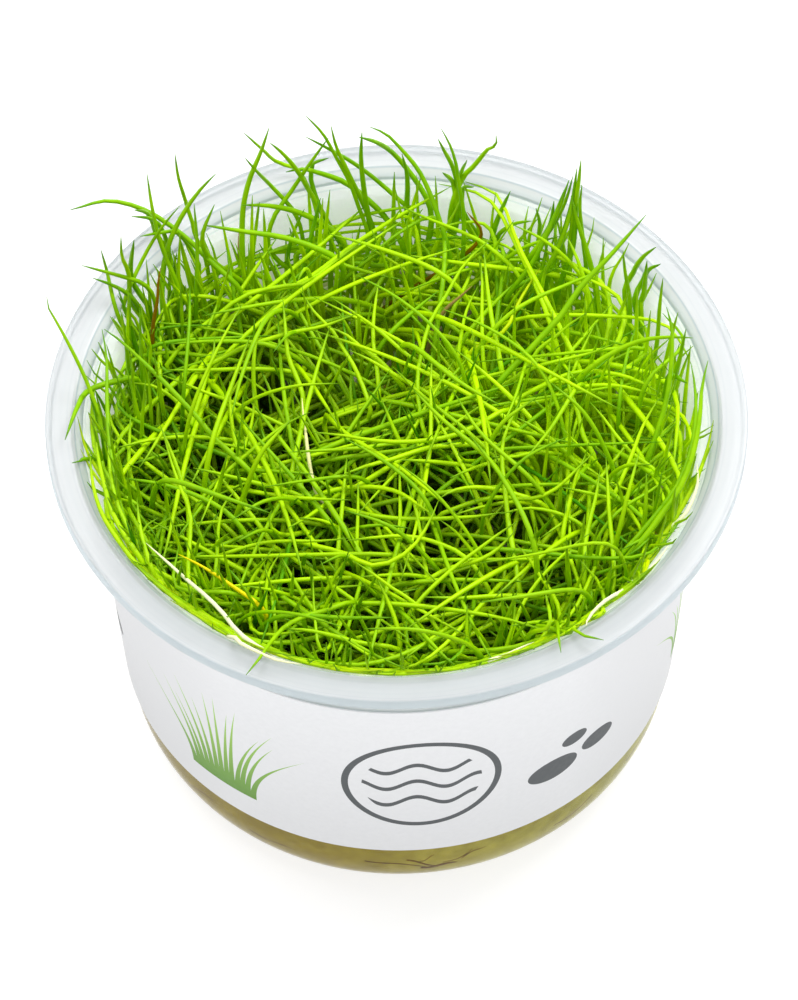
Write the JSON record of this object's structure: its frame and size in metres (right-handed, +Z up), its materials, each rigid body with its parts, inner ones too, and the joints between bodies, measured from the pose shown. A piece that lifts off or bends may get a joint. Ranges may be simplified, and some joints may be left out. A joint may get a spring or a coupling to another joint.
{
  "type": "potted dwarf hairgrass",
  "caption": "Low tub of dwarf hairgrass: needle blades in a tangled mat on nutrient gel, inside a clear round plastic tub with a flat rim and a white paper band.",
  "frame": {"origin": "centre of the tub's flat base, on the surface it stands on", "axes": "+Z up along the tub's axis, -Y towards the front of the label, +X to the right seen from the front"},
  "size_m": [0.1, 0.1, 0.0795],
  "materials": {
    "clear_plastic": "clear moulded plastic, slightly frosted on the rim",
    "white_paper": "smooth coated paper with a plain printed pattern",
    "olive_gel": "wet translucent gel",
    "grass_green": "living leaf, satin"
  },
  "bodies": {
    "root": {"cup": "clear_plastic", "label": "white_paper", "nutrient_gel": "olive_gel", "plantlet_01": "grass_green", "plantlet_02": "grass_green", "plantlet_03": "grass_green", "plantlet_04": "grass_green", "plantlet_05": "grass_green", "plantlet_06": "grass_green", "plantlet_07": "grass_green", "plantlet_08": "grass_green", "plantlet_09": "grass_green", "plantlet_10": "grass_green", "plantlet_11": "grass_green", "plantlet_12": "grass_green", "plantlet_13": "grass_green", "plantlet_14": "grass_green", "plantlet_15": "grass_green", "plantlet_16": "grass_green", "plantlet_17": "grass_green", "plantlet_18": "grass_green", "plantlet_19": "grass_green", "plantlet_20": "grass_green", "plantlet_21": "grass_green", "plantlet_22": "grass_green", "plantlet_23": "grass_green", "plantlet_24": "grass_green", "plantlet_25": "grass_green", "plantlet_26": "grass_green", "plantlet_27": "grass_green", "plantlet_28": "grass_green", "plantlet_29": "grass_green", "plantlet_30": "grass_green", "plantlet_31": "grass_green", "plantlet_32": "grass_green", "plantlet_33": "grass_green", "plantlet_34": "grass_green", "plantlet_35": "grass_green"}
  },
  "joints": []
}
